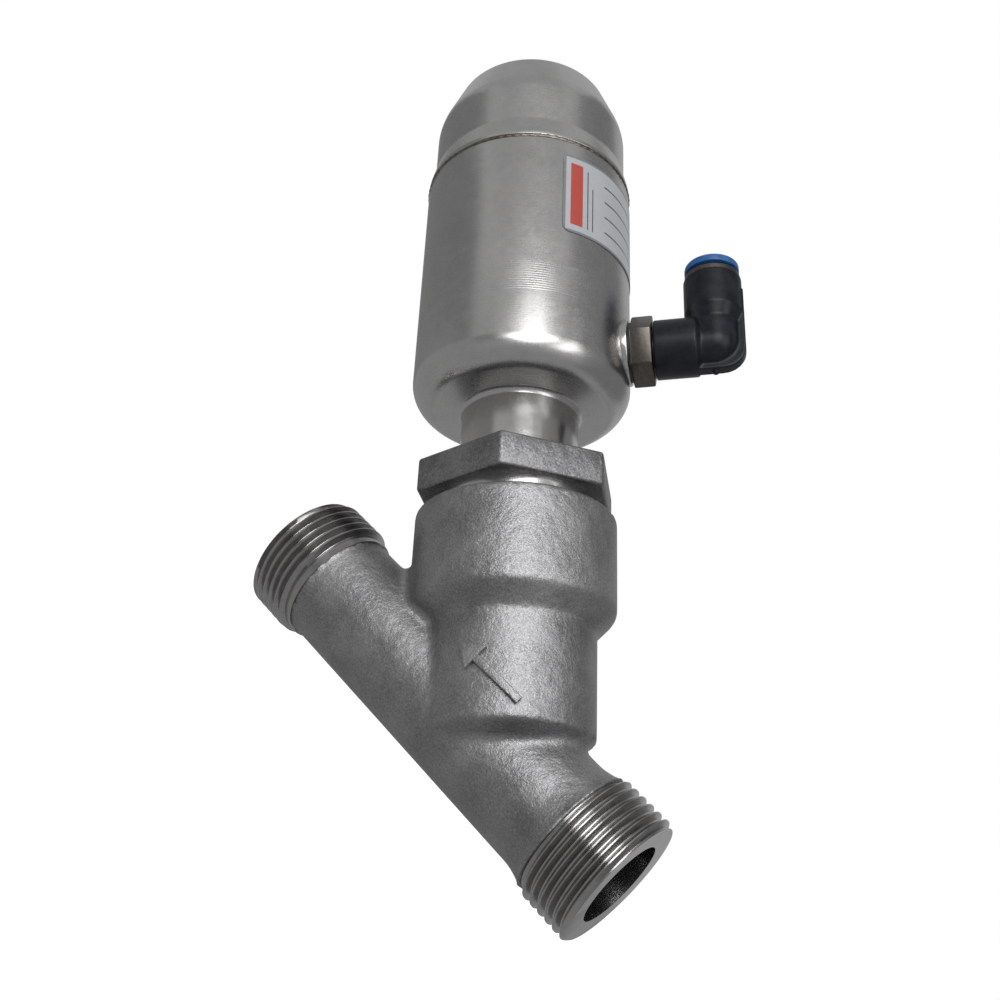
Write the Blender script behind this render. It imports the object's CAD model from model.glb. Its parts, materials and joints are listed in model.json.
"""Looks of a small angle seat valve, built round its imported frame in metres."""

import json
import logging
import math
from dataclasses import dataclass
from enum import Enum

import bmesh
import bpy
from mathutils import Matrix, Vector


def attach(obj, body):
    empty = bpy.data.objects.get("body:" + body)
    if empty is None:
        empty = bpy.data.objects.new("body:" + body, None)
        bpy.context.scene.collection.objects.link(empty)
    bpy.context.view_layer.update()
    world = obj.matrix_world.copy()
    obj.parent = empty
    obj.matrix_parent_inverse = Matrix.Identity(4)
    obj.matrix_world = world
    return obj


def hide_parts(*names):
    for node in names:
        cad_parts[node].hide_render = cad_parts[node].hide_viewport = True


MM = 0.001
LOG = logging.getLogger("angle_seat_valve")
Colour = tuple[float, float, float, float]
Corner = tuple[float, ...]
Place = tuple[float, float, float]
Pair = tuple[float, float]
Mesh = bmesh.types.BMesh
Vert = bmesh.types.BMVert
Material = bpy.types.Material
Node = bpy.types.Node
Socket = bpy.types.NodeSocket
WHITE: Colour = (1.0, 1.0, 1.0, 1.0)
PORT_HEIGHT = 84.8  # height of the air port along the stem above the crossing, in millimetres
ELBOW_REACH = 40.0  # distance of the elbow's centre from the stem axis, in millimetres
SAME = 1e-4  # millimetres within which two vertices are one
CLOSE = 1e-3  # millimetres within which a vertex counts as on a corner
FINE_TURN = 192  # faces round the shell and cap
# One rib of the thread: (share of the pitch, share of the depth) of each corner.
THREAD_FORM = ((0.0, 0.0), (0.1, 0.05), (0.36, 0.82), (0.43, 1.0), (0.57, 1.0), (0.64, 0.82), (0.9, 0.05), (1.0, 0.0))


class Rides(Enum):
    """The rigid bodies of the frame that pieces ride on."""

    BODY = "body"
    ELBOW = "elbow"
    RELEASE = "release"


class Slot(Enum):
    """The record's material slots."""

    CAST = "cast_stainless"
    NUT = "nut_stainless"
    TURNED = "turned_stainless"
    SHELL = "brushed_shell"
    WELD = "weld_metal"
    SPRING = "spring_steel"
    PTFE = "ptfe"
    BUSH = "bush_polymer"
    RUBBER = "black_rubber"
    NICKEL = "nickel_brass"
    BLACK = "black_plastic"
    BLUE = "blue_plastic"
    CLEAR = "clear_plastic"
    RED = "red_plastic"
    LABEL = "label_film"
    PISTON = "piston_aluminium"


@dataclass(frozen=True)
class Axes:
    """A right-handed frame in millimetres whose z axis is what pieces are turned about.

    Args:
        origin: the frame's origin.
        x: its x direction.
        z: its z direction.
    """

    origin: Place
    x: Place
    z: Place

    def matrix(self) -> Matrix:
        """Returns the map from this frame's millimetres to the row frame's metres."""
        across = Vector(self.z).cross(Vector(self.x))
        turn = Matrix((Vector(self.x), across, Vector(self.z))).transposed().to_4x4()
        return Matrix.Translation(Vector(self.origin) * MM) @ turn @ Matrix.Scale(MM, 4)


@dataclass(frozen=True)
class Layout:
    """The frames that the valve's parts are turned in.

    Args:
        stem: along the stem, its x axis towards the air fitting.
        pipe: along the pipe, from the crossing of the two axes out of the inlet.
        port: along the air port, from the stem axis outwards.
        elbow: along the elbow's barrel, at the elbow's centre.
    """

    stem: Axes
    pipe: Axes
    port: Axes
    elbow: Axes

    @classmethod
    def of(cls, joints: list[dict]) -> "Layout":
        """Reads the frames from the joints.

        Args:
            joints: the frame's joints.

        Returns:
            The valve's frames.
        """
        lift = next(j for j in joints if j["name"] == "stem_lift")
        swivel = next(j for j in joints if j["name"] == "elbow_swivel")
        stem = Vector(lift["axis"]).normalized()
        reach = Vector(swivel["axis"]).normalized()
        centre = Vector(swivel["pos_m"]) / MM
        port = centre - reach * ELBOW_REACH
        crossing = port - stem * PORT_HEIGHT
        return cls(
            stem=Axes(tuple(crossing), tuple(reach), tuple(stem)),
            pipe=Axes(tuple(crossing), (0.0, 0.0, -1.0), (1.0, 0.0, 0.0)),
            port=Axes(tuple(port), tuple(-stem), tuple(reach)),
            elbow=Axes(tuple(centre), tuple(reach), tuple(stem)),
        )


# ---------------------------------------------------------------- finishes
class Tree:
    """A node tree with short calls to fill it."""

    def __init__(self, tree: bpy.types.NodeTree) -> None:
        """Takes up the tree to fill."""
        self.tree = tree

    def add(self, kind: str, settings: dict | None = None, values: dict | None = None) -> Node:
        """Adds a node.

        Args:
            kind: the node's type.
            settings: attributes of the node.
            values: constants or output sockets for its inputs, by name or number.

        Returns:
            The node.
        """
        node = self.tree.nodes.new(kind)
        for key, value in (settings or {}).items():
            setattr(node, key, value)
        for key, value in (values or {}).items():
            self.feed(node.inputs[key], value)
        return node

    def feed(self, socket: Socket, value: object) -> None:
        """Links an output socket to an input, or sets a constant on it.

        Args:
            socket: the input.
            value: an output socket or a constant.
        """
        if isinstance(value, Socket):
            self.tree.links.new(value, socket)
        else:
            socket.default_value = value

    def choose(self, share: Socket, first: Node, second: Node) -> Node:
        """Adds a mix of two shaders.

        Args:
            share: how much of the second shows.
            first: a shader's node.
            second: a shader's node.

        Returns:
            The mix.
        """
        return self.add("ShaderNodeMixShader", {}, {0: share, 1: first.outputs[0], 2: second.outputs[0]})

    def show(self, shader: Node, output: str = "Material Output") -> None:
        """Links a shader's node to the tree's output node."""
        self.feed(self.tree.nodes[output].inputs["Surface"], shader.outputs[0])


class Sheet(Tree):
    """A material's node tree, with its principled shader."""

    def __init__(self, name: str) -> None:
        """Starts a material of that name."""
        self.material = bpy.data.materials.new(name)
        self.material.use_nodes = True
        super().__init__(self.material.node_tree)
        self.shader = self.tree.nodes["Principled BSDF"]
        self.place = self.add("ShaderNodeTexCoord")

    def noise(self, size: float, detail: float = 3.0, roughness: float = 0.5) -> Socket:
        """Adds a noise on the object's own coordinates.

        Args:
            size: the size of its features in millimetres.
            detail: octaves.
            roughness: share kept from one octave to the next.

        Returns:
            Its value.
        """
        values = {"Vector": self.place.outputs["Object"], "Scale": 1.0 / (size * MM)}
        values |= {"Detail": detail, "Roughness": roughness}
        return self.add("ShaderNodeTexNoise", {}, values).outputs["Fac"]

    def along(self, direction: Place) -> Socket:
        """Adds the distance along a direction.

        Args:
            direction: a unit direction in the row frame.

        Returns:
            The distance from the origin in metres.
        """
        values = {0: self.place.outputs["Object"], 1: direction}
        return self.add("ShaderNodeVectorMath", {"operation": "DOT_PRODUCT"}, values).outputs["Value"]

    def math(self, operation: str, first: object, second: object = 0.0) -> Socket:
        """Works out one value from two.

        Args:
            operation: the math node's operation.
            first: a socket or a number.
            second: a socket or a number.

        Returns:
            The result.
        """
        return self.add("ShaderNodeMath", {"operation": operation}, {0: first, 1: second}).outputs[0]

    def spread(
        self, value: object, low: float, high: float, start: float = 0.3, end: float = 0.7
    ) -> Socket:
        """Maps a value between two limits.

        Args:
            value: a socket.
            low: result at the start.
            high: result at the end.
            start: value that gives low.
            end: value that gives high.

        Returns:
            The mapped value.
        """
        names = {"Value": value, "From Min": start, "From Max": end, "To Min": low, "To Max": high}
        return self.add("ShaderNodeMapRange", {"clamp": True}, names).outputs[0]

    def blend(self, share: object, first: object, second: object) -> Socket:
        """Mixes two colours.

        Args:
            share: how much of the second shows.
            first: a colour or a socket.
            second: a colour or a socket.

        Returns:
            The mixed colour.
        """
        values = {0: share, 6: first, 7: second}
        return self.add("ShaderNodeMix", {"data_type": "RGBA"}, values).outputs[2]

    def relief(self, height: object, depth: float, below: object = None) -> Socket:
        """Adds a bump.

        Args:
            height: a value from 0 to 1.
            depth: the bump's depth in millimetres.
            below: a normal to build on.

        Returns:
            The normal.
        """
        values = {"Height": height, "Distance": depth * MM, "Strength": 1.0}
        if below is not None:
            values["Normal"] = below
        return self.add("ShaderNodeBump", {}, values).outputs["Normal"]

    def set(self, **values: object) -> None:
        """Sets the shader's inputs, with spaces written as underscores."""
        for key, value in values.items():
            self.feed(self.shader.inputs[key.replace("_", " ")], value)


@dataclass(frozen=True)
class BlastedFinish:
    """Investment-cast stainless steel, bead blasted.

    Args:
        name: the material's name.
        pale: colour of the high spots.
        dark: colour of the hollows.
        grain: size of the blasted grain in millimetres.
        depth: its depth in millimetres.
        roughness: mean roughness.
    """

    name: str
    pale: Colour
    dark: Colour
    grain: float
    depth: float
    roughness: float

    def build(self) -> Material:
        """Returns the material."""
        sheet = Sheet(self.name)
        grain = sheet.noise(self.grain, 2.0, 0.6)
        swell = sheet.noise(self.grain * 5, 2.0)
        cloud = sheet.noise(9.0, 3.0)
        tone = sheet.math("ADD", sheet.math("MULTIPLY", grain, 0.55), sheet.math("MULTIPLY", cloud, 0.45))
        colour = sheet.blend(sheet.spread(tone, 0.0, 1.0, 0.36, 0.64), self.dark, self.pale)
        normal = sheet.relief(grain, self.depth, sheet.relief(swell, self.depth * 2.5))
        rough = sheet.spread(cloud, self.roughness - 0.05, self.roughness + 0.06)
        sheet.set(Base_Color=colour, Metallic=1.0, Roughness=rough, Normal=normal)
        return sheet.material


@dataclass(frozen=True)
class TurnedFinish:
    """Stainless steel turned or polished about an axis, with fine rings.

    Args:
        name: the material's name.
        pale: colour between the rings.
        dark: colour of smears.
        axis: direction of the axis in the row frame.
        pitch: spacing of the rings in millimetres.
        depth: their depth in millimetres.
        roughness: mean roughness.
        band: heights of a band of coarser rings, along the axis from the origin, in metres.
    """

    name: str
    pale: Colour
    dark: Colour
    axis: Place
    pitch: float
    depth: float
    roughness: float
    band: Pair | None = None

    def build(self) -> Material:
        """Returns the material."""
        sheet = Sheet(self.name)
        calc, height = sheet.math, sheet.along(self.axis)
        rings = sheet.add(
            "ShaderNodeTexNoise",
            {"noise_dimensions": "1D"},
            {"W": height, "Scale": 1.0 / (self.pitch * MM), "Detail": 4.0, "Roughness": 0.7},
        ).outputs["Fac"]
        cloud = sheet.noise(7.0, 4.0, 0.6)
        smear = sheet.noise(1.6, 3.0, 0.6)
        marks = calc("ADD", calc("MULTIPLY", cloud, 0.35), calc("MULTIPLY", smear, 0.25))
        tone = calc("ADD", marks, calc("MULTIPLY", rings, 0.4))
        colour = sheet.blend(sheet.spread(tone, 0.0, 1.0, 0.35, 0.65), self.dark, self.pale)
        normal = sheet.relief(rings, self.depth)
        if self.band:
            low, high = self.band
            inside = calc("MULTIPLY", calc("GREATER_THAN", height, low), calc("LESS_THAN", height, high))
            wave = calc("SINE", calc("MULTIPLY", height, 2 * math.pi / (0.55 * MM)))
            normal = sheet.relief(calc("MULTIPLY", inside, wave), 0.006, normal)
        rough = sheet.spread(tone, self.roughness - 0.03, self.roughness + 0.05)
        sheet.set(Base_Color=colour, Metallic=1.0, Roughness=rough, Normal=normal)
        return sheet.material


@dataclass(frozen=True)
class WeldFinish:
    """A weld bead with heat tint.

    Args:
        name: the material's name.
        pale: colour of clean metal.
        tint: colour of the heat tint.
    """

    name: str
    pale: Colour
    tint: Colour

    def build(self) -> Material:
        """Returns the material."""
        sheet = Sheet(self.name)
        cloud = sheet.noise(1.4, 3.0)
        fine = sheet.noise(0.25, 2.0)
        colour = sheet.blend(sheet.spread(cloud, 0.0, 1.0), self.pale, self.tint)
        rough = sheet.spread(fine, 0.28, 0.5)
        sheet.set(Base_Color=colour, Metallic=1.0, Roughness=rough, Normal=sheet.relief(fine, 0.02))
        return sheet.material


@dataclass(frozen=True)
class MouldedFinish:
    """A moulded polymer or rubber.

    Args:
        name: the material's name.
        colour: its colour.
        worn: its colour where it is rubbed or dusty.
        roughness: mean roughness.
        grain: size of the surface texture in millimetres.
        depth: its depth in millimetres.
        gloss: specular level.
    """

    name: str
    colour: Colour
    worn: Colour
    roughness: float
    grain: float = 0.3
    depth: float = 0.006
    gloss: float = 0.5

    def build(self) -> Material:
        """Returns the material."""
        sheet = Sheet(self.name)
        cloud = sheet.noise(3.0, 4.0, 0.65)
        grain = sheet.noise(self.grain, 2.0)
        colour = sheet.blend(sheet.spread(cloud, 0.0, 1.0, 0.4, 0.75), self.colour, self.worn)
        rough = sheet.spread(cloud, self.roughness - 0.06, self.roughness + 0.08)
        sheet.set(Base_Color=colour, Metallic=0.0, Roughness=rough, Normal=sheet.relief(grain, self.depth))
        sheet.set(Specular_IOR_Level=self.gloss)
        return sheet.material


@dataclass(frozen=True)
class ClearFinish:
    """A clear moulded cap.

    Args:
        name: the material's name.
        colour: its tint.
    """

    name: str
    colour: Colour

    def build(self) -> Material:
        """Returns the material."""
        sheet = Sheet(self.name)
        rough = sheet.spread(sheet.noise(2.0), 0.03, 0.09)
        sheet.set(Base_Color=self.colour, Roughness=rough, Transmission_Weight=1.0, IOR=1.58)
        return sheet.material


@dataclass(frozen=True)
class LabelFinish:
    """A silver film with a red bar and plain ruled lines, on the label's own map.

    Args:
        name: the material's name.
        film: colour of the film.
        ink: colour of the lines.
        bar: colour of the bar.
    """

    name: str
    film: Colour
    ink: Colour
    bar: Colour

    @staticmethod
    def box(sheet: Sheet, spot: Node, left: float, right: float, low: float, high: float) -> Socket:
        """Marks a rectangle of the map.

        Args:
            sheet: the node tree.
            spot: the node that gives the map's coordinates.
            left: its left side.
            right: its right side.
            low: its lower side.
            high: its upper side.

        Returns:
            A value of 1 inside.
        """
        inside = []
        for axis, start, end in ((0, left, right), (1, low, high)):
            inside.append(sheet.math("COMPARE", spot.outputs[axis], (start + end) / 2))
            sheet.feed(inside[-1].node.inputs[2], (end - start) / 2)
        return sheet.math("MULTIPLY", *inside)

    def build(self) -> Material:
        """Returns the material."""
        sheet = Sheet(self.name)
        spot = sheet.add("ShaderNodeSeparateXYZ", {}, {0: sheet.place.outputs["UV"]})
        wear = sheet.noise(2.2, 4.0)
        film = sheet.blend(sheet.spread(wear, 0.0, 0.35), self.film, (0.3, 0.31, 0.33, 1.0))
        dark = self.box(sheet, spot, 0.118, 0.124, 0.1, 0.86)
        marks = [(0.145, 0.151, 0.1, 0.66)]
        for row in range(4):
            base = 0.78 - 0.2 * row
            marks.append((0.22, 0.80 - 0.13 * (row % 2), base, base + 0.022))
        for mark in marks:
            dark = sheet.math("MAXIMUM", dark, self.box(sheet, spot, *mark))
        inner = self.box(sheet, spot, 0.012, 0.988, 0.028, 0.972)
        edge = sheet.math("SUBTRACT", 1.0, inner)
        dark = sheet.math("MAXIMUM", dark, sheet.math("MULTIPLY", edge, 0.7))
        inked = sheet.blend(sheet.math("MULTIPLY", dark, 0.85), film, self.ink)
        bar = self.box(sheet, spot, 0.035, 0.095, 0.1, 0.9)
        sheet.set(Base_Color=sheet.blend(bar, inked, self.bar), Roughness=sheet.spread(wear, 0.32, 0.46), Metallic=0.0)
        sheet.set(Coat_Weight=0.3, Coat_Roughness=0.25, Normal=sheet.relief(wear, 0.01))
        return sheet.material


class Palette:
    """The valve's finishes by slot."""

    BAND = (87.3, 94.0)  # heights of the shell's ring-turned band above the crossing, in millimetres

    def __init__(self, layout: Layout) -> None:
        """Builds every finish.

        Args:
            layout: the valve's frames.
        """
        stem = layout.stem.z
        offset = Vector(layout.stem.origin).dot(Vector(stem)) * MM
        finishes = {
            Slot.CAST: BlastedFinish("cast_body", (0.44, 0.44, 0.446, 1), (0.22, 0.22, 0.225, 1), 0.34, 0.075, 0.48),
            Slot.NUT: BlastedFinish("cast_nut", (0.36, 0.36, 0.365, 1), (0.16, 0.16, 0.165, 1), 0.4, 0.085, 0.48),
            Slot.TURNED: TurnedFinish(
                "turned_steel", (0.62, 0.61, 0.6, 1), (0.5, 0.49, 0.48, 1), stem, 0.12, 0.007, 0.2
            ),
            Slot.SHELL: TurnedFinish(
                "brushed_shell", (0.58, 0.575, 0.57, 1), (0.48, 0.475, 0.47, 1), stem, 0.14, 0.006, 0.26,
                tuple(offset + height * MM for height in self.BAND),
            ),
            Slot.WELD: WeldFinish("weld_bead", (0.24, 0.225, 0.2, 1), (0.11, 0.085, 0.065, 1)),
            Slot.SPRING: TurnedFinish("spring_wire", (0.4, 0.4, 0.41, 1), (0.28, 0.28, 0.29, 1), stem, 0.4, 0.004, 0.3),
            Slot.PTFE: MouldedFinish("white_seal", (0.8, 0.8, 0.77, 1), (0.62, 0.61, 0.58, 1), 0.42),
            Slot.BUSH: MouldedFinish("bush", (0.10, 0.09, 0.08, 1), (0.17, 0.15, 0.13, 1), 0.5),
            Slot.RUBBER: MouldedFinish("rubber", (0.012, 0.012, 0.013, 1), (0.05, 0.05, 0.05, 1), 0.55),
            Slot.NICKEL: BlastedFinish(
                "dull_nickel", (0.16, 0.145, 0.13, 1), (0.105, 0.095, 0.088, 1), 0.6, 0.008, 0.34
            ),
            Slot.BLACK: MouldedFinish(
                "black_plastic", (0.004, 0.005, 0.008, 1), (0.012, 0.014, 0.02, 1), 0.36, gloss=0.28
            ),
            Slot.BLUE: MouldedFinish("blue_plastic", (0.012, 0.07, 0.22, 1), (0.03, 0.12, 0.3, 1), 0.36),
            Slot.CLEAR: ClearFinish("clear_cap", (0.93, 0.95, 0.96, 1)),
            Slot.RED: MouldedFinish("red_plastic", (0.5, 0.02, 0.015, 1), (0.6, 0.06, 0.05, 1), 0.4),
            Slot.LABEL: LabelFinish(
                "label_film", (0.36, 0.37, 0.39, 1), (0.03, 0.03, 0.035, 1), (0.36, 0.045, 0.035, 1)
            ),
            Slot.PISTON: TurnedFinish("piston", (0.6, 0.6, 0.62, 1), (0.45, 0.45, 0.47, 1), stem, 0.3, 0.006, 0.3),
        }
        self.materials = {slot: finish.build() for slot, finish in finishes.items()}
        pipe = TurnedFinish(
            "machined_thread", (0.46, 0.455, 0.45, 1), (0.28, 0.275, 0.27, 1), layout.pipe.z, 0.16, 0.012, 0.2
        )
        self.machined = pipe.build()

    def piece(
        self, name: str, mesh: Mesh, slot: Slot, stands_for: tuple[str, ...] = (),
        rides: Rides = Rides.BODY, crease: float = 32.0, material: Material | None = None,
    ) -> None:
        """Makes an object of a finished mesh and hands it to the frame.

        Args:
            name: the piece's name.
            mesh: its mesh in the row frame, which is freed.
            slot: the record's slot it takes its finish from.
            stands_for: the frame's nodes that it replaces.
            rides: the body it rides on.
            crease: angle in degrees past which an edge is sharp.
            material: its material where that isn't the slot's own.
        """
        data = baked(name, mesh)
        data.materials.append(material or self.materials[slot])
        data.polygons.foreach_set("use_smooth", [True] * len(data.polygons))
        data.set_sharp_from_angle(angle=math.radians(crease))
        made = placed(name, data)
        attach(made, rides.value)
        if stands_for:
            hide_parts(*stands_for)
        LOG.info("%s: %d faces", name, len(data.polygons))


# ---------------------------------------------------------------- building
def baked(name: str, mesh: Mesh) -> bpy.types.Mesh:
    """Returns a mesh as data of that name and frees it."""
    data = bpy.data.meshes.new(name)
    mesh.to_mesh(data)
    mesh.free()
    return data


def placed(name: str, data: bpy.types.ID) -> bpy.types.Object:
    """Returns a new object of some data, in the scene."""
    made = bpy.data.objects.new(name, data)
    bpy.context.scene.collection.objects.link(made)
    return made


def rounded(mesh: Mesh, geom: list, size: float, segments: int, affect: str = "EDGES") -> None:
    """Rounds edges or corners.

    Args:
        mesh: their mesh.
        geom: the edges or vertices.
        size: how far the rounding reaches from them.
        segments: faces across it.
        affect: EDGES or VERTICES.
    """
    bmesh.ops.bevel(
        mesh, geom=geom, offset=size, offset_type="OFFSET", segments=segments, profile=0.5, affect=affect,
        material=-1, clamp_overlap=True,
    )


def thickened(mesh: Mesh, step: Place) -> None:
    """Gives a flat mesh a thickness by a step to its other side."""
    grown = bmesh.ops.extrude_face_region(mesh, geom=mesh.faces[:], use_keep_orig=True)["geom"]
    lifted = [item for item in grown if isinstance(item, Vert)]
    bmesh.ops.translate(mesh, verts=lifted, vec=step)
    bmesh.ops.recalc_face_normals(mesh, faces=mesh.faces)


def cut(mesh: Mesh, place: Place, normal: Place, below: bool = False, above: bool = False) -> None:
    """Cuts a mesh with a plane.

    Args:
        mesh: the mesh.
        place: a point of the plane.
        normal: the plane's normal.
        below: whether what lies behind the plane goes.
        above: whether what lies before it goes.
    """
    bmesh.ops.bisect_plane(
        mesh, geom=mesh.verts[:] + mesh.edges[:] + mesh.faces[:], dist=1e-5, plane_co=place, plane_no=normal,
        clear_inner=below, clear_outer=above,
    )


def arc(radius: float, height: float, angles: range) -> list[Corner]:
    """Returns corners round (0, height), at angles in degrees above the horizontal."""
    return [(radius * math.cos(math.radians(a)), height + radius * math.sin(math.radians(a))) for a in angles]


def turned(corners: list[Corner], steps: int = 128) -> Mesh:
    """Turns an outline about the z axis.

    Args:
        corners: (radius, height) or (radius, height, rounding) of each corner. The outline closes on itself
            unless it starts and ends on the axis.
        steps: faces round the axis.

    Returns:
        The turned mesh in millimetres.
    """
    mesh = bmesh.new()
    points = [mesh.verts.new((corner[0], 0.0, corner[1])) for corner in corners]
    count = len(points)
    on_axis = corners[0][0] == 0 and corners[-1][0] == 0
    sides = [mesh.edges.new((points[i], points[(i + 1) % count])) for i in range(count - 1 if on_axis else count)]
    bmesh.ops.spin(
        mesh, geom=points + sides, cent=(0, 0, 0), axis=(0, 0, 1), dvec=(0, 0, 0), angle=2 * math.pi,
        steps=steps, use_merge=True, use_normal_flip=False, use_duplicate=False,
    )
    bmesh.ops.remove_doubles(mesh, verts=mesh.verts, dist=SAME)
    for index, corner in enumerate(corners):
        if len(corner) < 3:
            continue
        here = Vector(corner[:2])
        before = Vector(corners[index - 1][:2]) - here
        after = Vector(corners[(index + 1) % count][:2]) - here
        offset = corner[2] / math.tan(before.angle(after) / 2)
        rim = [edge for edge in mesh.edges if all(near(vert, here) for vert in edge.verts)]
        rounded(mesh, rim, offset, 4 if corner[2] < 1 else 10)
    bmesh.ops.recalc_face_normals(mesh, faces=mesh.faces)
    return mesh


def near(vert: Vert, corner: Vector) -> bool:
    """Returns whether a vertex lies on the circle of a (radius, height) corner."""
    radius = math.hypot(vert.co.x, vert.co.y)
    return abs(radius - corner[0]) < CLOSE and abs(vert.co.z - corner[1]) < CLOSE


def hexagon(flats: float, turn: float, base: float, top: float, edge: float, bore: float) -> Mesh:
    """Makes a hexagon with rounded edges and a bore.

    Args:
        flats: width across flats.
        turn: angle of one corner in degrees.
        base: lower height.
        top: upper height.
        edge: rounding of its edges.
        bore: radius of the bore.

    Returns:
        The mesh in millimetres.
    """
    mesh = bmesh.new()
    first_corner = 90  # a new circle starts on the y axis
    spin = Matrix.Rotation(math.radians(turn - first_corner), 4, "Z")
    corner_radius = flats / math.sqrt(3)
    for radius, segments in ((corner_radius, 6), (bore, 96)):
        bmesh.ops.create_circle(mesh, cap_ends=False, radius=radius, segments=segments, matrix=spin)
    bmesh.ops.bridge_loops(mesh, edges=mesh.edges)
    bmesh.ops.translate(mesh, verts=mesh.verts, vec=(0, 0, base))
    thickened(mesh, (0, 0, top - base))
    outer = [e for e in mesh.edges if all(math.hypot(v.co.x, v.co.y) > corner_radius - 0.01 for v in e.verts)]
    rounded(mesh, outer, edge, 3)
    return mesh


def moved(mesh: Mesh, axes: Axes) -> Mesh:
    """Takes a mesh from its own frame to the row frame and returns it."""
    bmesh.ops.transform(mesh, matrix=axes.matrix(), verts=mesh.verts)
    return mesh


def joined(first: Mesh, *others: Mesh) -> Mesh:
    """Adds meshes to the first one.

    Args:
        first: the mesh that takes the others.
        others: meshes to add, which are freed.

    Returns:
        The first mesh.
    """
    for other in others:
        carrier = baked("carrier", other)
        first.from_mesh(carrier)
        bpy.data.meshes.remove(carrier)
    return first


def remeshed(mesh: Mesh, voxel: float) -> Mesh:
    """Joins overlapping closed shapes into one skin.

    Args:
        mesh: the shapes in metres, which is freed.
        voxel: size of the skin's faces in millimetres.

    Returns:
        The skin.
    """
    data = baked("skin", mesh)
    carrier = placed("skin", data)
    modifier = carrier.modifiers.new("skin", "REMESH")
    modifier.mode = "VOXEL"
    modifier.voxel_size = voxel * MM
    depsgraph = bpy.context.evaluated_depsgraph_get()
    result = bmesh.new()
    result.from_object(carrier, depsgraph)
    bpy.data.objects.remove(carrier)
    bpy.data.meshes.remove(data)
    return result


def eased(mesh: Mesh, verts: list[Vert], rounds: int) -> None:
    """Smooths some vertices of a mesh.

    Args:
        mesh: the mesh.
        verts: the vertices that move.
        rounds: how often they are smoothed.
    """
    for _ in range(rounds):
        bmesh.ops.smooth_vert(mesh, verts=verts, factor=0.5, use_axis_x=True, use_axis_y=True, use_axis_z=True)


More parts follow.
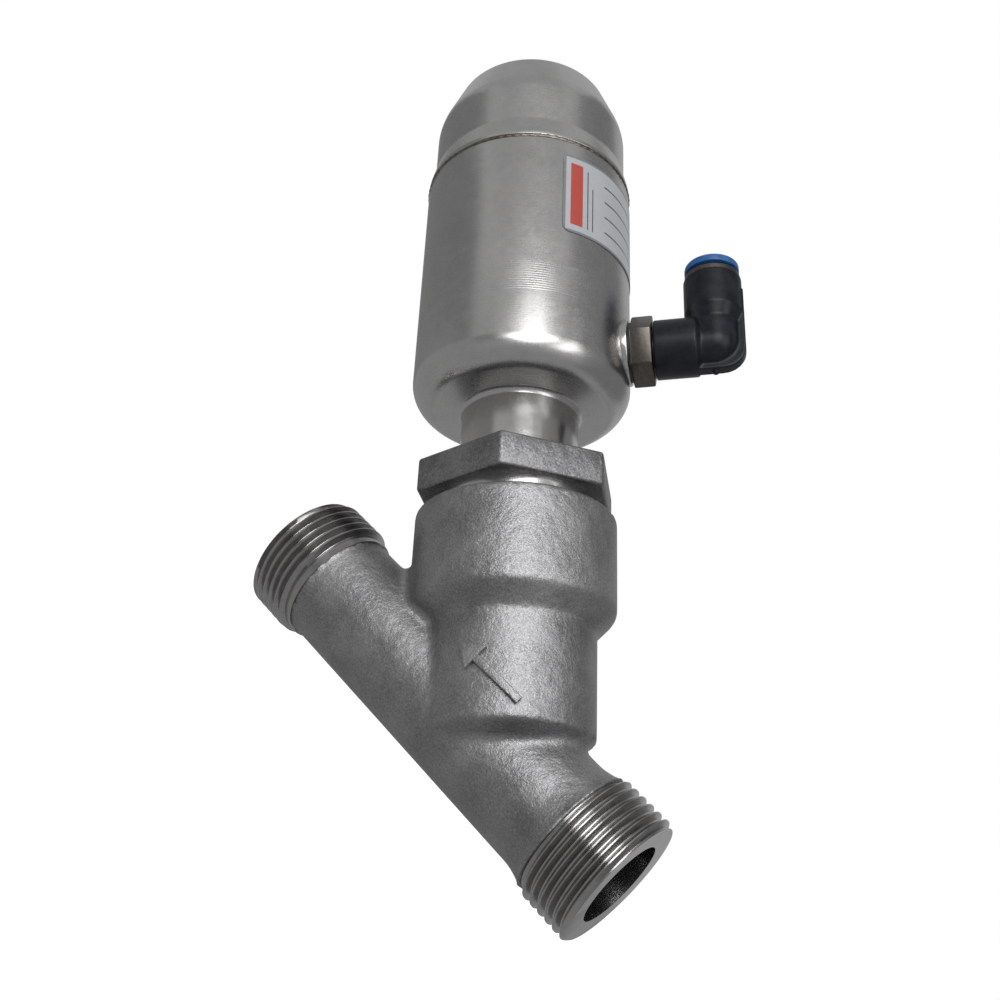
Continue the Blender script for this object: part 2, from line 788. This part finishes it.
# ---------------------------------------------------------------- sub-assemblies
@dataclass
class ValveBody:
    """The cast body with its two threaded spigots and a raised flow arrow."""

    layout: Layout
    palette: Palette
    inlet_end: float = 28.7
    outlet_end: float = -61.3
    spigot: float = 11.4
    crest: float = 13.22
    root: float = 12.06
    pitch: float = 1.814
    rim: float = 12.6
    bore: float = 8.4
    pipe: float = 11.6
    flare: tuple[Pair, ...] = ((-0.1, 5.6), (0.15, 3.6), (0.55, 1.8), (1.1, 0.3))
    housing: float = 16.1
    chamber: float = 14.4
    mouth: float = 17.7
    mouth_base: float = 33.0
    lap: float = 0.3
    lead_in: float = 1.1
    run_out: float = 1.6
    voxel: float = 0.5
    arrow_height: float = 12.4
    arrow_proud: float = 1.0
    arrow_root: float = 0.5
    arrow_turn: float = 135.0

    def casting(self) -> Mesh:
        """Returns the cast skin, without the spigots, in metres."""
        mesh = bmesh.new()
        mesh.from_mesh(frame["nodes"]["valve_body"].data)
        bmesh.ops.remove_doubles(mesh, verts=mesh.verts, dist=CLOSE * MM)
        outside = self.layout.pipe.matrix()
        inside = outside.inverted()
        inlet = self.inlet_end - self.spigot + self.lap
        outlet = self.outlet_end + self.spigot - self.lap
        for vert in mesh.verts:
            spot = inside @ vert.co
            if outlet + 0.2 < spot.z < inlet - 0.2:
                continue
            radius = math.hypot(spot.x, spot.y)
            if radius > self.pipe:
                spot.xy = spot.xy * (self.pipe / radius)
            spot.z = min(max(spot.z, outlet), inlet)
            vert.co = outside @ spot
        slope = [(self.pipe + proud, inlet - behind) for proud, behind in self.flare]
        lining = self.bore + 0.4
        flare = turned([(lining, slope[0][1]), *slope, (lining, slope[-1][1])])
        skin = remeshed(joined(mesh, moved(flare, self.layout.pipe)), self.voxel)
        stem_inside = self.layout.stem.matrix().inverted()
        outer = []
        for vert in skin.verts:
            about_pipe = inside @ vert.co
            about_stem = stem_inside @ vert.co
            stem_radius = math.hypot(about_stem.x, about_stem.y)
            in_bore = math.hypot(about_pipe.x, about_pipe.y) < self.bore + 1.0
            in_chamber = stem_radius < self.chamber and about_stem.z > 0
            in_mouth = stem_radius < self.mouth and about_stem.z > self.mouth_base
            if not (in_bore or in_chamber or in_mouth):
                outer.append(vert)
        eased(skin, outer, 3)
        return skin

    def thread(self, end: float, toward: float, relief: float) -> Mesh:
        """Cuts one spigot's thread.

        Args:
            end: position of the end face along the pipe from the crossing.
            toward: 1 for the inlet and -1 for the outlet.
            relief: length of the plain neck behind the thread.

        Returns:
            The spigot in metres.
        """
        mesh = bmesh.new()
        spare = 3  # turns past the two ends, which are cut off
        turns = int(self.spigot / self.pitch) + spare
        deep, start = self.crest - self.root, -self.pitch * spare / 2
        points = [
            mesh.verts.new((self.root + deep * high, 0.0, start + self.pitch * share)) for share, high in THREAD_FORM
        ]
        sides = [mesh.edges.new(pair) for pair in zip(points, points[1:])]
        steps = 96
        bmesh.ops.spin(
            mesh, geom=points + sides, cent=(0, 0, 0), axis=(0, 0, 1), dvec=(0, 0, self.pitch / steps),
            angle=2 * math.pi * turns, steps=steps * turns, use_merge=False, use_normal_flip=False,
            use_duplicate=False,
        )
        bmesh.ops.remove_doubles(mesh, verts=mesh.verts, dist=CLOSE)
        cut(mesh, (0, 0, relief), (0, 0, 1), below=True)
        cut(mesh, (0, 0, self.spigot), (0, 0, 1), above=True)
        neck = self.root + 0.1
        for vert in mesh.verts:
            radius = math.hypot(vert.co.x, vert.co.y)
            at_end = self.rim + (self.spigot - vert.co.z) * self.lead_in
            limit = min(at_end, neck + (vert.co.z - relief) * self.run_out)
            if radius > limit:
                vert.co.xy = vert.co.xy * (limit / radius)
        openings = [edge for edge in mesh.edges if edge.is_boundary]
        grown = bmesh.ops.extrude_edge_only(mesh, edges=openings)["geom"]
        for vert in [item for item in grown if isinstance(item, Vert)]:
            vert.co.xy = vert.co.xy.normalized() * self.bore
        bmesh.ops.remove_doubles(mesh, verts=mesh.verts, dist=SAME)
        bmesh.ops.bridge_loops(mesh, edges=[edge for edge in mesh.edges if edge.is_boundary])
        bmesh.ops.triangulate(mesh, faces=[face for face in mesh.faces if len(face.verts) > 4])
        bmesh.ops.recalc_face_normals(mesh, faces=mesh.faces)
        joined(mesh, turned([(self.bore, -0.2), (neck, -0.2), (neck, relief + 0.1, 0.2), (self.bore, relief + 0.1)]))
        flip = Matrix.Identity(4) if toward > 0 else Matrix.Rotation(math.pi, 4, "X")
        bmesh.ops.transform(mesh, matrix=flip, verts=mesh.verts)
        bmesh.ops.translate(mesh, verts=mesh.verts, vec=(0, 0, end - toward * self.spigot))
        return moved(mesh, self.layout.pipe)

    def arrow(self) -> Mesh:
        """Returns the raised arrow that shows the flow, wrapped on the housing, in metres."""
        shaft = ((-7.5, -0.7), (3.4, -0.7), (3.4, 0.7), (-7.5, 0.7))
        head = ((3.2, -2.6), (8.2, 0.0), (3.2, 2.6))
        return joined(*(self.raised(outline) for outline in (shaft, head)))

    def raised(self, outline: tuple[Pair, ...]) -> Mesh:
        """Raises a flat outline from the housing.

        Args:
            outline: corners, their first coordinate along the flow.

        Returns:
            The raised shape, wrapped on the housing, in metres.
        """
        mesh = bmesh.new()
        mesh.faces.new([mesh.verts.new((x, y, 0.0)) for x, y in outline])
        turn = Matrix.Rotation(math.radians(self.arrow_turn), 3, "Z")
        bmesh.ops.rotate(mesh, verts=mesh.verts, cent=(0, 0, 0), matrix=turn)
        for strip in range(-8, 9):
            cut(mesh, (strip * 0.8, 0, 0), (1, 0, 0))
        thickened(mesh, (0, 0, self.arrow_proud + self.arrow_root))
        rims = [
            edge for edge in mesh.edges
            if len(edge.link_faces) == 2 and edge.calc_face_angle(0.0) > 1.0 and all(v.co.z > 0.9 for v in edge.verts)
        ]
        rounded(mesh, rims, 0.16, 3)
        for vert in mesh.verts:
            radius = self.housing - self.arrow_root + vert.co.z
            angle = vert.co.x / self.housing - math.pi / 2
            vert.co = Vector((radius * math.cos(angle), radius * math.sin(angle), self.arrow_height + vert.co.y))
        return moved(mesh, self.layout.stem)

    def build(self) -> None:
        """Builds the body's pieces."""
        piece = self.palette.piece
        piece("body_casting", self.casting(), Slot.CAST, ("valve_body",), crease=60)
        for name, end, toward, relief in (
            ("inlet_thread", self.inlet_end, 1, 0.3), ("outlet_thread", self.outlet_end, -1, 1.5),
        ):
            piece(name, self.thread(end, toward, relief), Slot.CAST, crease=40, material=self.palette.machined)
        piece("flow_arrow", self.arrow(), Slot.CAST, crease=50)


@dataclass
class UnionNut:
    """The cast hexagon nut with its machined shank, and the bonnet's neck above it."""

    layout: Layout
    palette: Palette
    shank: float = 17.0
    shank_base: float = 39.5
    hex_base: float = 50.2
    hex_top: float = 57.2
    flats: float = 36.0
    corner_turn: float = -86.2
    neck: float = 11.95
    neck_top: float = 73.6

    def build(self) -> None:
        """Builds the nut and the neck."""
        stem, piece = self.layout.stem, self.palette.piece
        bore, top, relief = self.neck + 0.3, self.hex_base + 0.2, self.shank - 0.7
        nut = hexagon(self.flats, self.corner_turn, self.hex_base, self.hex_top, 0.55, bore)
        piece("nut_hexagon", moved(nut, stem), Slot.NUT, ("union_nut",))
        shank = turned(
            [
                (bore, self.shank_base), (self.shank, self.shank_base, 0.5), (self.shank, 47.9), (relief, 48.3),
                (relief, top), (bore, top),
            ]
        )
        piece("nut_shank", moved(shank, stem), Slot.TURNED)
        neck = turned(
            [
                (8.0, 33.0), (8.0, 35.5), (16.4, 35.5, 0.3), (16.4, self.shank_base, 0.3), (self.neck, self.shank_base),
                (self.neck, self.neck_top, 0.3), (7.5, self.neck_top), (7.5, 37.6), (4.3, 37.6), (4.3, 36.1),
                (5.6, 36.1), (5.6, 33.0),
            ]
        )
        piece("bonnet_neck", moved(neck, stem), Slot.TURNED, ("bonnet_tube",))


@dataclass
class Actuator:
    """The pressed steel shell and cap with their welds, the type label and the position indicator."""

    layout: Layout
    palette: Palette
    radius: float = 22.55
    wall: float = 1.3
    neck: float = 11.97
    floor: float = 71.4
    rise: float = 1.2
    seam: float = 126.2
    seam_gap: float = 0.8
    top: float = 154.5
    dome: float = 160.4
    label_start: float = 31.0
    label_sweep: float = 120.0
    label_base: float = 102.9
    label_height: float = 19.8
    label_corner: float = 1.6
    label_thick: float = 0.15
    label_strips: int = 48

    def shell(self) -> Mesh:
        """Returns the shell in metres."""
        inner = self.radius - self.wall
        corners = [
            (self.neck, self.floor), (self.radius, self.floor + self.rise, 5.5), (self.radius, self.seam, 0.12),
            (inner, self.seam), (inner, self.floor + self.rise + self.wall, 4.2), (self.neck, self.floor + self.wall),
        ]
        return moved(turned(corners, FINE_TURN), self.layout.stem)

    def cap(self) -> Mesh:
        """Returns the cap in metres."""
        base = self.seam + self.seam_gap
        inner, under = self.radius - self.wall, self.top - self.wall
        corners = [
            (self.radius, base, 0.12), (self.radius, base + 0.8, 0.6), (21.4, 132.3, 3.0), (21.4, 143.6, 9.0),
            (17.0, self.top, 2.2), (7.52, self.top), (7.52, under), (16.0, under, 1.5), (20.1, 143.2, 7.5),
            (20.1, 132.6, 2.0), (inner, base + 0.8), (inner, base),
        ]
        return moved(turned(corners, FINE_TURN), self.layout.stem)

    def bead(self, radius: float, height: float, wide: float, tall: float, ripples: int) -> Mesh:
        """Lays a rippled weld bead round the stem axis.

        Args:
            radius: radius of the bead's middle.
            height: height of its middle.
            wide: its width along the stem.
            tall: how far it stands out.
            ripples: ripples round the bead.

        Returns:
            The bead in metres.
        """
        corners = [
            (radius + tall * math.cos(math.radians(a)), height + wide / 2 * math.sin(math.radians(a)))
            for a in range(0, 360, 30)
        ]
        mesh = turned(corners, ripples * 5)
        for vert in mesh.verts:
            angle = math.atan2(vert.co.y, vert.co.x)
            swing = 0.10 * math.sin(angle * ripples + 1.3 * math.sin(angle * 3)) + 0.05 * math.sin(angle * 17)
            vert.co.xy = vert.co.xy * (1 + swing * tall / radius)
            vert.co.z += 0.06 * wide * math.sin(angle * 11 + 2.0)
        return moved(mesh, self.layout.stem)

    def label(self) -> Mesh:
        """Returns the label wrapped on the shell, with its own map, in metres."""
        mesh = bmesh.new()
        length = math.radians(self.label_sweep) * self.radius
        bmesh.ops.create_grid(mesh, x_segments=1, y_segments=1, size=0.5)
        bmesh.ops.scale(mesh, verts=mesh.verts, vec=(length, self.label_height, 1))
        rounded(mesh, mesh.verts[:], self.label_corner, 6, "VERTICES")
        for strip in range(1, self.label_strips):
            cut(mesh, (length * (strip / self.label_strips - 0.5), 0, 0), (1, 0, 0))
        thickened(mesh, (0, 0, self.label_thick))
        chart = mesh.loops.layers.uv.new("UVMap")
        for face in mesh.faces:
            for loop in face.loops:
                loop[chart].uv = (loop.vert.co.x / length + 0.5, loop.vert.co.y / self.label_height + 0.5)
        for vert in mesh.verts:
            angle = math.radians(self.label_start - 90) + (vert.co.x + length / 2) / self.radius
            radius = self.radius + 0.01 + vert.co.z
            height = self.label_base + self.label_height / 2 + vert.co.y
            vert.co = Vector((radius * math.cos(angle), radius * math.sin(angle), height))
        return moved(mesh, self.layout.stem)

    def build(self) -> None:
        """Builds the actuator's pieces."""
        stem, piece = self.layout.stem, self.palette.piece
        piece("shell_skin", self.shell(), Slot.SHELL, ("actuator_shell",))
        piece("cap_skin", self.cap(), Slot.SHELL, ("actuator_cap",))
        seam = self.bead(self.radius - 0.22, self.seam + self.seam_gap / 2, 1.05, 0.38, 84)
        piece("seam_bead", seam, Slot.WELD, ("seam_weld",), crease=60)
        corners = [
            (11.9, self.floor - 1.0), (self.neck, self.floor - 1.0), (12.12, self.floor - 0.5),
            (12.45, self.floor - 0.12), (12.95, self.floor + 0.06), (12.95, self.floor + 0.3), (11.9, self.floor + 0.3),
        ]
        fillet = moved(turned(corners, FINE_TURN), stem)
        brushed = self.palette.materials[Slot.SHELL]
        piece("neck_fillet", fillet, Slot.WELD, ("neck_weld",), crease=70, material=brushed)
        piece("label_sheet", self.label(), Slot.LABEL, ("type_label",))
        boss = turned(
            [
                (6.03, 151.2), (7.5, 151.2), (7.5, self.top), (8.5, self.top, 0.3), (8.5, 156.5, 0.4), (6.03, 156.5),
            ]
        )
        piece("boss_ring", moved(boss, stem), Slot.TURNED, ("indicator_boss",))
        outer, inner = 6.0, 4.8
        outline = [
            (0.0, self.dome + outer), *arc(outer, self.dome, range(84, -1, -6)), (outer, 158.4), (7.6, 158.4, 0.3),
            (7.6, 156.9, 0.3), (outer, 156.9), (outer, 152.4), (inner, 152.4), *arc(inner, self.dome, range(0, 90, 6)),
            (0.0, self.dome + inner),
        ]
        piece("sight_dome", moved(turned(outline, 96), stem), Slot.CLEAR, ("sight_cap",), crease=40)


@dataclass
class AirFitting:
    """The welded air port and the swivelling push-in elbow."""

    layout: Layout
    palette: Palette
    voxel: float = 0.2
    arm: float = 6.15
    ball: float = 4.9
    barrel: float = 5.98
    tube: float = 3.15
    rib: float = 2.6
    barrel_top: float = 15.4
    heel_drop: float = 6.1

    def elbow(self) -> Mesh:
        """Returns the moulded elbow as one skin, in metres."""
        arm = turned(
            [
                (3.65, 28.0), (self.arm, 28.0), (self.arm, 36.5), (self.ball, 37.4), (self.ball, ELBOW_REACH),
                (1.0, ELBOW_REACH), (1.0, 36.3), (3.65, 36.3),
            ]
        )
        barrel = turned(
            [
                (self.ball, 0.0), (self.ball, 4.6), (self.barrel, 7.2), (self.barrel, self.barrel_top),
                (4.9, self.barrel_top), (4.9, 6.5), (self.tube, 6.5), (self.tube, 4.4), (2.0, 4.4), (2.0, 0.0),
            ]
        )
        corner = bmesh.new()
        bmesh.ops.create_uvsphere(corner, u_segments=64, v_segments=32, radius=self.ball)
        rib = bmesh.new()
        far = self.barrel + 0.22
        heel_top = self.barrel_top - 2.8
        outline = ((-3.6, -self.heel_drop), (far, -self.heel_drop), (far, heel_top), (5.0, heel_top), (0.0, 0.0))
        rib.faces.new([rib.verts.new((x, -self.rib / 2, z)) for x, z in outline])
        thickened(rib, (0, self.rib, 0))
        heel = [
            edge for edge in rib.edges
            if all(abs(v.co.x - far) < CLOSE and abs(v.co.z + self.heel_drop) < CLOSE for v in edge.verts)
        ]
        rounded(rib, heel, 4.6, 12)
        nub = turned([(0.0, -6.8), (0.7, -6.8, 0.2), (0.7, -4.8), (0.0, -4.8)], 24)
        shapes = [moved(item, self.layout.elbow) for item in (barrel, corner, rib, nub)]
        skin = remeshed(joined(moved(arm, self.layout.port), *shapes), self.voxel)
        inside = self.layout.elbow.matrix().inverted()
        outer = []
        for vert in skin.verts:
            spot = inside @ vert.co
            if math.hypot(spot.x, spot.y) > 5.3 or spot.z < 4.0:
                outer.append(vert)
        eased(skin, outer, 3)
        return skin

    def build(self) -> None:
        """Builds the port's and the elbow's pieces."""
        port, elbow, piece = self.layout.port, self.layout.elbow, self.palette.piece
        boss = turned([(4.89, 18.3), (6.2, 18.3), (7.0, 20.6), (7.0, 22.9, 0.35), (4.89, 22.9, 0.2)])
        piece("port_boss", moved(boss, port), Slot.TURNED, ("air_port_boss",))
        shank = hexagon(13.0, 21.0, 23.3, 27.7, 0.35, 4.4)
        journal = turned([(2.0, 18.3), (4.86, 18.3, 0.3), (4.86, 27.6), (3.6, 27.6), (3.6, 35.8), (2.0, 35.8)], 96)
        piece("fitting_hexagon", joined(moved(shank, port), moved(journal, port)), Slot.NICKEL, ("fitting_shank",))
        piece("elbow_skin", self.elbow(), Slot.BLACK, ("elbow_body",), Rides.ELBOW, 60)
        top = self.barrel_top
        mouth = turned(
            [
                (4.05, 11.05), (4.88, 11.05), (4.88, top), (5.7, top), (5.7, top + 1.1, 0.2), (4.05, top + 1.1, 0.2),
            ]
        )
        piece("mouth_collar", moved(mouth, elbow), Slot.NICKEL, ("mouth_ring",), Rides.ELBOW)
        base, face = top + 1.95, top + 3.6
        ring = turned(
            [
                (self.tube, 12.0), (4.0, 12.0, 0.2), (4.0, base), (5.64, base, 0.2), (5.64, face, 0.45),
                (self.tube, face, 0.35),
            ]
        )
        piece("release_collar", moved(ring, elbow), Slot.BLUE, ("release_ring",), Rides.RELEASE)


@dataclass
class Studio:
    """A pale floor, soft lamps and the camera."""

    lens: float = 41.48
    sensor: float = 36.0
    near: float = 0.005
    camera_place: Place = (0.03764, -0.20086, 0.00002)
    right: Place = (0.6589, 0.2235, 0.7183)
    up: Place = (-0.5938, -0.4317, 0.6790)
    middle: Place = (-0.045, 0.0, 0.04)
    floor_height: float = -0.075
    floor_tone: float = 0.86
    floor_glow: float = 0.72
    floor_mirrored: float = 0.36
    room_light: float = 0.5

    def axes(self) -> tuple[Vector, Vector, Vector]:
        """Returns the camera's right, up and backward directions."""
        right = Vector(self.right).normalized()
        back = right.cross(Vector(self.up)).normalized()
        return right, back.cross(right), back

    def camera(self) -> None:
        """Places the camera."""
        data = bpy.data.cameras.new("camera")
        data.lens = self.lens
        data.sensor_width = self.sensor
        data.clip_start = self.near
        made = placed("camera", data)
        right, up, back = self.axes()
        turn = Matrix((right, up, back)).transposed().to_4x4()
        made.matrix_world = Matrix.Translation(self.camera_place) @ turn
        bpy.context.scene.camera = made

    def hung(self, offset: Place, facing: int) -> Matrix:
        """Finds a place round the valve, turned to its middle.

        Args:
            offset: the place along the camera's right, up and backward directions, in metres.
            facing: 1 where the z axis looks at the middle, -1 where it looks away.

        Returns:
            The placement.
        """
        right, up, back = self.axes()
        middle = Vector(self.middle)
        place = middle + right * offset[0] + up * offset[1] + back * offset[2]
        turn = ((middle - place) * facing).to_track_quat("Z", "Y").to_matrix().to_4x4()
        return Matrix.Translation(place) @ turn

    def lamp(self, name: str, offset: Place, size: Pair, power: float) -> None:
        """Hangs a soft lamp, aimed at the valve.

        Args:
            name: the lamp's name.
            offset: its place along the camera's directions, in metres.
            size: its width and height in metres.
            power: its power in watts.
        """
        data = bpy.data.lights.new(name, "AREA")
        data.shape = "RECTANGLE"
        data.size, data.size_y = size
        data.energy = power
        placed(name, data).matrix_world = self.hung(offset, -1)

    def panel(self, size: Pair, placement: Matrix, sheet: Sheet) -> bpy.types.Object:
        """Makes a flat rectangle.

        Args:
            size: its width and height in metres.
            placement: where it stands.
            sheet: the material's node tree, which also gives the name.

        Returns:
            The object.
        """
        mesh = bmesh.new()
        bmesh.ops.create_grid(mesh, x_segments=1, y_segments=1, size=0.5)
        bmesh.ops.scale(mesh, verts=mesh.verts, vec=(*size, 1))
        bmesh.ops.transform(mesh, matrix=placement, verts=mesh.verts)
        data = baked(sheet.material.name, mesh)
        data.materials.append(sheet.material)
        return placed(data.name, data)

    def card(self, name: str, offset: Place, size: Pair, grey: float) -> None:
        """Stands a card that only shows in reflections.

        Args:
            name: the card's name.
            offset: its place along the camera's directions, in metres.
            size: its width and height in metres.
            grey: how bright it is.
        """
        sheet = Sheet(name)
        sheet.show(sheet.add("ShaderNodeEmission", {}, {"Color": (grey, grey, grey, 1)}))
        made = self.panel(size, self.hung(offset, 1), sheet)
        for ray in ("camera", "diffuse", "shadow", "transmission"):
            setattr(made, f"visible_{ray}", False)

    def floor(self) -> None:
        """Lays the floor."""
        sheet = Sheet("floor")
        tone = self.floor_tone
        sheet.set(Base_Color=(tone, tone, tone, 1), Roughness=0.9, Specular_IOR_Level=0.0)
        ray = sheet.add("ShaderNodeLightPath").outputs
        glow = sheet.add("ShaderNodeEmission", {}, {"Strength": self.floor_glow})
        dim = sheet.add("ShaderNodeEmission", {}, {"Strength": self.floor_mirrored})
        total = sheet.add("ShaderNodeAddShader", {}, {0: sheet.shader.outputs[0], 1: glow.outputs[0]})
        seen = sheet.choose(ray["Is Camera Ray"], sheet.shader, total)
        sheet.show(sheet.choose(ray["Is Glossy Ray"], seen, dim))
        made = self.panel((12.0, 12.0), Matrix.Translation((0, 0, self.floor_height)), sheet)

    def world(self) -> None:
        """Lights the room: plain for surfaces, white where the camera sees it."""
        made = bpy.data.worlds.new("room")
        bpy.context.scene.world = made
        made.use_nodes = True
        room = Tree(made.node_tree)
        plain = room.tree.nodes["Background"]
        room.feed(plain.inputs["Color"], WHITE)
        room.feed(plain.inputs["Strength"], self.room_light)
        white = room.add("ShaderNodeBackground", {}, {"Color": WHITE, "Strength": 1.0})
        ray = room.add("ShaderNodeLightPath").outputs
        rays = {0: ray["Is Camera Ray"], 1: ray["Is Transmission Ray"]}
        seen = room.add("ShaderNodeMath", {"operation": "MAXIMUM"}, rays)
        room.show(room.choose(seen.outputs[0], plain, white), "World Output")

    def build(self) -> None:
        """Builds the studio."""
        bpy.context.scene.view_settings.view_transform = "Standard"
        self.camera()
        self.floor()
        self.world()
        self.lamp("key_lamp", (0.09, 0.42, 0.5), (0.42, 0.45), 2.5)
        self.lamp("side_lamp", (0.45, 0.2, 0.35), (0.2, 0.6), 0.8)
        self.card("left_card", (-0.45, 0.0, -0.15), (1.1, 1.3), 0.24)
        self.card("left_front_card", (-0.42, 0.0, 0.33), (0.5, 1.3), 0.2)
        self.card("right_card", (0.45, 0.0, -0.05), (0.75, 1.3), 0.23)
        self.card("low_card", (0.0, -0.42, 0.25), (1.4, 0.5), 0.03)
        self.card("top_card", (0.0, 0.6, 0.05), (1.2, 0.5), 0.42)


def dress_nodes(palette: Palette) -> None:
    """Gives the carried-over nodes their materials.

    Args:
        palette: the valve's finishes.
    """
    for sub in frame["record"]["subparts"]:
        node = frame["nodes"][sub["node"]]
        node.data.materials.clear()
        node.data.materials.append(palette.materials[Slot(sub["material_slot"])])


def main() -> None:
    """Builds the valve's looks in order and keeps both boxes for comparison."""
    logging.basicConfig(level=logging.INFO, format="%(name)s %(message)s")
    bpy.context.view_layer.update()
    layout = Layout.of(frame["joints"])
    palette = Palette(layout)
    dress_nodes(palette)
    for part in (ValveBody, UnionNut, Actuator, AirFitting):
        part(layout, palette).build()
        LOG.info("%s done", part.__name__)
    Studio().build()


with open("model.json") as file:
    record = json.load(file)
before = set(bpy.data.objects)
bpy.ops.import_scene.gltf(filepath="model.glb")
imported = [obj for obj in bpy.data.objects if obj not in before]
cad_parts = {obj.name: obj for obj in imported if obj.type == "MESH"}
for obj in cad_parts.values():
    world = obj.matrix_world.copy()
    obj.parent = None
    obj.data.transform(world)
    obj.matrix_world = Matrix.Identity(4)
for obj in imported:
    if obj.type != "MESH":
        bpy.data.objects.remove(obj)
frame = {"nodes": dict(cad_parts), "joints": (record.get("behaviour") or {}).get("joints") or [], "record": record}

if __name__ == "__main__":
    main()
